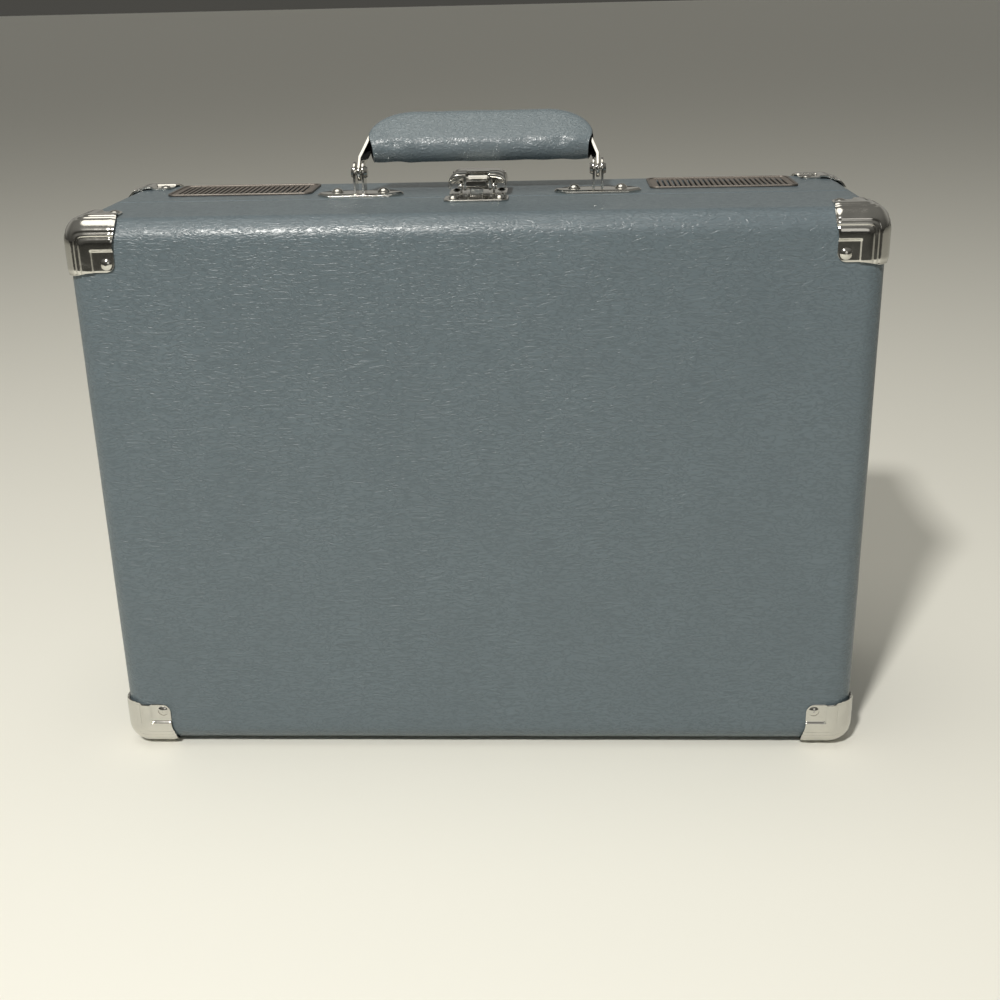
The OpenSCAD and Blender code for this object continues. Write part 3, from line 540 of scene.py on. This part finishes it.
def corner_guard(bm, corner, inward):
    """Adds one protector at a corner of the case."""
    start = len(bm.verts)
    for rows in GUARD_GRID:
        placed = [[Vector([corner[k] + inward[k] * p[k] * MM for k in range(3)]) for p in row]
                  for row in rows]
        rings_to_mesh(bm, placed, closed=False)
    bm.verts.ensure_lookup_table()
    bmesh.ops.remove_doubles(bm, verts=bm.verts[start:], dist=0.00002)


def face_out(bm, middle):
    """Turns an open sheet's faces away from a point inside the case."""
    bmesh.ops.recalc_face_normals(bm, faces=bm.faces)
    bm.faces.ensure_lookup_table()
    votes = sum(1 if f.normal.dot(f.calc_center_median() - middle) > 0 else -1 for f in bm.faces)
    if votes < 0:
        bmesh.ops.reverse_faces(bm, faces=bm.faces)


def make_guards():
    """Eight protectors: one piece for each lid corner, and one for the four of the base."""
    case_x = base_hi.x
    lid_names = {(1, 1): "lid_corner_fl", (-1, 1): "lid_corner_fr",
                 (1, -1): "lid_corner_rl", (-1, -1): "lid_corner_rr"}
    whole = bmesh.new()
    for sx in (-1, 1):
        for sz in (-1, 1):
            z = base_hi.z if sz > 0 else base_lo.z
            for lid_side in (False, True):
                bm = bmesh.new()
                y = lid_lo.y if lid_side else base_hi.y
                inward = (-sx, 1 if lid_side else -1, -sz)
                corner_guard(bm, (sx * case_x, y, z), inward)
                inside = Vector((sx * case_x, y, z)) + Vector(inward) * 14 * MM
                face_out(bm, inside)
                if lid_side:
                    node = lid_names[(sx, sz)]
                    thicken(make_piece(node + "_guard", bm, "nickel", "lid", (node,)))
                else:
                    mesh = bpy.data.meshes.new("part")
                    bm.to_mesh(mesh)
                    bm.free()
                    whole.from_mesh(mesh)
                    bpy.data.meshes.remove(mesh)
    thicken(make_piece("base_guards", whole, "nickel", "base", ("base_corners",)))


def thicken(piece):
    """Gives a pressed sheet its thickness, inwards, and a rolled edge."""
    shell = piece.modifiers.new("sheet", "SOLIDIFY")
    shell.thickness = 0.8 * MM
    shell.offset = -1
    shell.use_even_offset = False
    bevel = piece.modifiers.new("rolled_edge", "BEVEL")
    bevel.width = 0.22 * MM
    bevel.segments = 2
    bevel.limit_method = "ANGLE"
    bevel.angle_limit = math.radians(50)


make_guards()


# ---- handle grip ----

def handle_axes():
    """The middle of the pins, the way through the grip towards its back, and the way out from the pins."""
    pins_lo, pins_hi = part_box("handle_pins")
    lean = math.radians(52)
    through = Vector((0, math.cos(lean), -math.sin(lean)))
    out = Vector((0, math.sin(lean), math.cos(lean)))
    return (pins_lo + pins_hi) / 2, through, out


def make_grip():
    """A padded sleeve: round underside, flat sides, and a crown that curves down to both ends."""
    origin, through, out = handle_axes()
    half_l, half_t = 53.3, 7.4
    low, crown = 9.3, 36.4
    around = 64

    def section(x, inset=0.0):
        """One closed ring of the sleeve, x along the grip."""
        over = max(0.0, (abs(x) - (half_l - 22)) / 22)
        fall = 16.5 * (1 - math.sqrt(max(0.0, 1 - over ** 2)))
        top = crown - fall - inset
        bottom = low + inset
        half = half_t - 0.9 * over ** 4 - inset
        high = (top - bottom) / 2
        middle = (top + bottom) / 2
        straight = max(0.0, high - half)
        bend = min(half, high)
        ring = []
        for k in range(around):
            turn = 2 * math.pi * k / around
            c, s = math.cos(turn), math.sin(turn)
            y = half * math.copysign(abs(c) ** 0.94, c)
            z = middle + math.copysign(straight, s) * min(1, abs(s) * 6) + bend * s
            ring.append(origin + (x * Vector((1, 0, 0)) + y * through + z * out) * MM)
        return ring

    steps = 88
    rings = [section(half_l * math.sin(math.pi / 2 * (2 * i / steps - 1))) for i in range(steps + 1)]
    lip = [(half_l + 0.25, 0.35), (half_l + 0.1, 1.0), (half_l - 0.9, 1.6), (half_l - 3, 1.9),
           (half_l - 9, 2.1)]
    rings = [section(-x, inset) for x, inset in reversed(lip)] + rings
    rings += [section(x, inset) for x, inset in lip]
    bm = bmesh.new()
    loops, _ = rings_to_mesh(bm, rings)
    bm.faces.new(loops[0])
    bm.faces.new(loops[-1])
    bmesh.ops.recalc_face_normals(bm, faces=bm.faces)
    bm.verts.ensure_lookup_table()
    for vert in bm.verts:
        away = (vert.co - origin).dot(out) / MM
        along = abs(vert.co.x) / MM
        slant = step(along, half_l - 6, half_l + 0.4) * (1 - step(away, 9, 20))
        vert.co.x -= math.copysign(2.6 * MM * slant, vert.co.x)
    # The end caps and the inward faces near both ends take the near-black hollow material: painted shade
    # inside the open sleeve ends.
    for face in bm.faces:
        middle = face.calc_center_median()
        inner = face.normal.dot(middle - (origin + 17 * MM * out + Vector((middle.x, 0, 0)))) < 0
        if len(face.verts) > 4 or (inner and abs(middle.x) / MM > half_l - 12):
            face.material_index = 1
    bm.normal_update()
    dents = [(-40.0, 1.1), (-33.5, -0.5), (-12.0, 0.5), (22.0, 0.5), (38.0, 0.9), (45.0, -0.4)]
    for vert in bm.verts:
        away = (vert.co - origin).dot(out) / MM
        under = (1 - step(away, 11, 17)) * step(away, 9.6, 12.5)
        push = 0.12 * noise.noise(vert.co * 70) + 0.08 * noise.noise(vert.co * 190)
        for place, deep in dents:
            push -= 0.8 * deep * under * math.exp(-((vert.co.x / MM - place) / 3.4) ** 2)
        vert.co += vert.normal * push * MM
        vert.co.x += 0.8 * MM
    piece = make_piece("grip_pad", bm, "grip_cover", "handle", ("handle_grip",), extra=("hollow",))
    rounder = piece.modifiers.new("smooth_skin", "SUBSURF")
    rounder.levels = 1
    rounder.render_levels = 1


make_grip()


# ---- lining and slip mat ----

def make_lining():
    """A cloth-covered board in the lid: rolled edges, round corners and a slack, slightly quilted face."""
    lo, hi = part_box("lid_lining")
    inner = lo.y if abs(lo.y - lid_hi.y) < abs(hi.y - lid_hi.y) else hi.y
    outer = hi.y if inner == lo.y else lo.y
    into = 1 if outer > inner else -1
    thick = abs(outer - inner)
    half_x, half_z, centre_z = (hi.x - lo.x) / 2, (hi.z - lo.z) / 2, (hi.z + lo.z) / 2
    roll = 0.9 * thick
    bm = bmesh.new()
    rings = []
    for inset, depth in [(0, thick)] + [(roll * (1 - math.cos(t)), roll * (1 - math.sin(t)))
                                        for t in (math.pi / 2 * k / 5 for k in range(6))]:
        ring = outline(half_x - inset, half_z - inset, 3 * MM, 56, 36, 5)
        rings.append([(x, inner + into * depth, centre_z + z) for x, z in ring])
    for scale in [1 - k / 24 for k in range(1, 24)]:
        ring = outline((half_x - roll) * scale, (half_z - roll) * scale, 3 * MM * scale, 56, 36, 5)
        rings.append([(x, inner, centre_z + z) for x, z in ring])
    loops, _ = rings_to_mesh(bm, rings)
    bm.faces.new(loops[-1])
    bm.faces.new(loops[0])
    weld_up(bm)
    for vert in bm.verts:
        if abs(vert.co.y - inner) < 0.2 * thick:
            edge = min(half_x - abs(vert.co.x), half_z - abs(vert.co.z - centre_z)) / (12 * MM)
            slack = 0.5 + 0.5 * noise.noise(Vector((vert.co.x * 16, 3.1, vert.co.z * 22)))
            vert.co.y += into * 0.45 * thick * slack * min(1, max(0, edge))
    make_piece("lid_lining_cloth", bm, "lining", "lid", ("lid_lining",))


def make_mat():
    """A felt disc with a soft, faintly wavy edge and a rounded hole."""
    lo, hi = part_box("slipmat")
    centre = (lo + hi) / 2
    facing = 1 if abs(hi.y) < abs(lo.y) else -1
    thick = hi.y - lo.y
    radius = (hi.x - lo.x) / 2
    hole = 4.0 * MM
    top = (centre.y + thick / 2) if facing > 0 else (centre.y - thick / 2)
    down = -facing * thick
    under = top + down
    profile = [(hole, under), (hole, top + 0.3 * down), (hole + 0.3 * thick, top + 0.05 * down)]
    profile += [(hole + (radius - hole) * k / 26, top) for k in range(1, 26)]
    profile += [(radius - 0.45 * thick, top + 0.03 * down), (radius - 0.15 * thick, top + 0.2 * down),
                (radius, top + 0.5 * down), (radius - 0.1 * thick, under)]
    around = 160
    bm = bmesh.new()
    rings = []
    for r, y in profile:
        ring = []
        for k in range(around):
            turn = 2 * math.pi * k / around
            across, upward = math.cos(turn), math.sin(turn)
            wave = 0.35 * MM * noise.noise(Vector((across * 3, upward * 3, 0.7))) - 0.3 * MM
            wavy = r + wave * step(r, 0.9 * radius, radius)
            nap = 0.10 * down * (1 + noise.noise(Vector((r * 60 * across, r * 60 * upward, y))))
            lift = nap if abs(y - top) < 0.1 * thick else 0
            ring.append((centre.x + wavy * across, y + lift, centre.z + wavy * upward))
        rings.append(ring)
    rings_to_mesh(bm, rings + [rings[0]])
    weld_up(bm, 0.00001)
    make_piece("felt_mat", bm, "mat_felt", "turntable", ("slipmat",))


make_lining()
make_mat()


# ---- latch cover ----

def make_latch_cover():
    """The lever's pressed cover: open in the middle for the loop, with shoulders that turn down."""
    lo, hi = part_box("latch_lever")
    half = (hi.x - lo.x) / 2 / MM
    front, crest = lo.y / MM, hi.z / MM + 0.12
    slot_half, shoulder_w, droop = 5.25, 5.2, 4.4
    bm = bmesh.new()
    for side in (-1, 1):
        columns = []
        for i in range(31):
            x = slot_half + (half - slot_half) * math.sin(math.pi / 2 * i / 30)
            shoulder = max(0.0, (x - (half - shoulder_w)) / shoulder_w)
            sink = droop * (1 - math.sqrt(max(0.0, 1 - min(1.0, shoulder) ** 2.2)))
            edge = crest - max(sink + 1.5, 1.8 + 1.9 * step(x, 4.9, 12.5))
            top = crest - sink
            column = [(front + 10.0, top - 0.02), (front + 6.0, top), (front + 3.0, top)]
            for k in range(7):
                turn = math.pi / 2 * k / 6
                column.append((front + 1.1 - 1.4 * math.sin(turn), top - 1.3 * (1 - math.cos(turn))))
            column.append((front - 0.34, edge))
            columns.append([Vector((side * x, y, z)) * MM for y, z in column])
        rings_to_mesh(bm, columns, closed=False)
    face_out(bm, Vector((0, front + 5, crest - 5)) * MM)
    piece = make_piece("latch_cover", bm, "nickel", "lever")
    shell = piece.modifiers.new("sheet", "SOLIDIFY")
    shell.thickness = 0.5 * MM
    shell.offset = -1


make_latch_cover()


# ---- CAD nodes that stay: materials and softened edges ----

def dress_nodes():
    """Gives every CAD node that still shows its material, and the edges of the listed ones a small radius
    in mm.
    """
    bevels = {"feet": 1.0, "deck": 0.6}
    bevels |= dict.fromkeys(("arm_base", "arm_tube", "arm_turret", "cartridge", "headshell"), 0.4)
    bevels |= dict.fromkeys(("handle_strap", "latch_catch"), 0.35)
    bevels |= dict.fromkeys(("adapter", "arm_rest", "bracket_left", "bracket_right", "cue_housing",
                             "cue_lever", "latch_base", "latch_lever", "rear_panel", "source_knob",
                             "speed_slider", "stop_slider", "volume_knob"), 0.3)
    bevels |= dict.fromkeys(("grille_bezels", "latch_loop"), 0.25)
    bevels |= dict.fromkeys(("hinge_base_leaves", "hinge_lid_leaves", "rest_clip"), 0.2)
    for name, part in NODES.items():
        if part.hide_render:
            continue
        slot = part.data.materials[0].name.split(".")[0]
        part.data.materials[0] = MATERIALS["bezel" if name == "grille_bezels" else slot]
        if name in bevels:
            soften(part, bevels[name] * MM)


dress_nodes()


# ---- floor and light ----

def make_floor():
    """A wide pale table top whose colour turns dark a good way in front of the case: a painted shadow."""
    bm = bmesh.new()
    bmesh.ops.create_grid(bm, x_segments=1, y_segments=1, size=120)
    mesh = bpy.data.meshes.new("floor")
    bm.to_mesh(mesh)
    bm.free()
    floor = bpy.data.objects.new("floor", mesh)
    bpy.context.scene.collection.objects.link(floor)
    mat, tree, shader = new_material("floor")
    place = add(tree, "ShaderNodeTexCoord")
    depth = add(tree, "ShaderNodeSeparateXYZ", {"Vector": place.outputs["Object"]}).outputs["Y"]
    # Painted shadow: the floor colour fades from pale to near-black between 0.60 m and 0.95 m in front of
    # the case.
    near = span(tree, depth, -0.95, -0.60, smooth=True)
    feed(tree, shader, rough=0.5, level=0.15,
         base=blend_colours(tree, near, (0.055, 0.055, 0.050), (0.85, 0.845, 0.775)))
    mesh.materials.append(mat)


def make_light(name, place, target, size, power, colour=(1, 0.97, 0.92)):
    data = bpy.data.lights.new(name, "AREA")
    data.shape = "DISK"
    data.size = size
    data.energy = power
    data.color = colour
    light = bpy.data.objects.new(name, data)
    light.location = place
    light.rotation_euler = (Vector(target) - Vector(place)).to_track_quat("-Z", "Y").to_euler()
    bpy.context.scene.collection.objects.link(light)


def make_world():
    """A dim room: dark in front of the case, with a paler band low down behind it."""
    world = bpy.data.worlds.new("studio")
    world.use_nodes = True
    tree = world.node_tree
    place = add(tree, "ShaderNodeTexCoord")
    axes = add(tree, "ShaderNodeSeparateXYZ", {"Vector": place.outputs["Generated"]}).outputs
    room = blend_colours(tree, span(tree, axes["Z"], 0.02, 0.8, smooth=True),
                         (0.066, 0.064, 0.057), (0.20, 0.195, 0.18))
    low = math_of(tree, "MULTIPLY", span(tree, axes["Z"], 0.03, 0.12, smooth=True),
                  span(tree, axes["Z"], 0.30, 0.55, 1.0, 0.0, smooth=True))
    behind = math_of(tree, "MULTIPLY", low, span(tree, axes["Y"], 0.1, 0.7, smooth=True))
    background = tree.nodes["Background"]
    tree.links.new(blend_colours(tree, behind, room, (0.36, 0.35, 0.32)), background.inputs["Color"])
    background.inputs["Strength"].default_value = 1.0
    bpy.context.scene.world = world



make_floor()
make_world()
make_light("key", (-0.36, -1.20, 1.38), (0, 0, 0.12), 0.15, 26)
make_light("ceiling", (-0.3, 0.0, 2.2), (0, -0.1, 0), 1.6, 11.5, (1, 0.96, 0.88))
make_light("fill", (0.5, -1.9, 0.7), (0, 0, 0.12), 0.9, 1.4)
bpy.context.scene.view_settings.view_transform = "Standard"
bpy.context.scene.view_settings.look = "None"
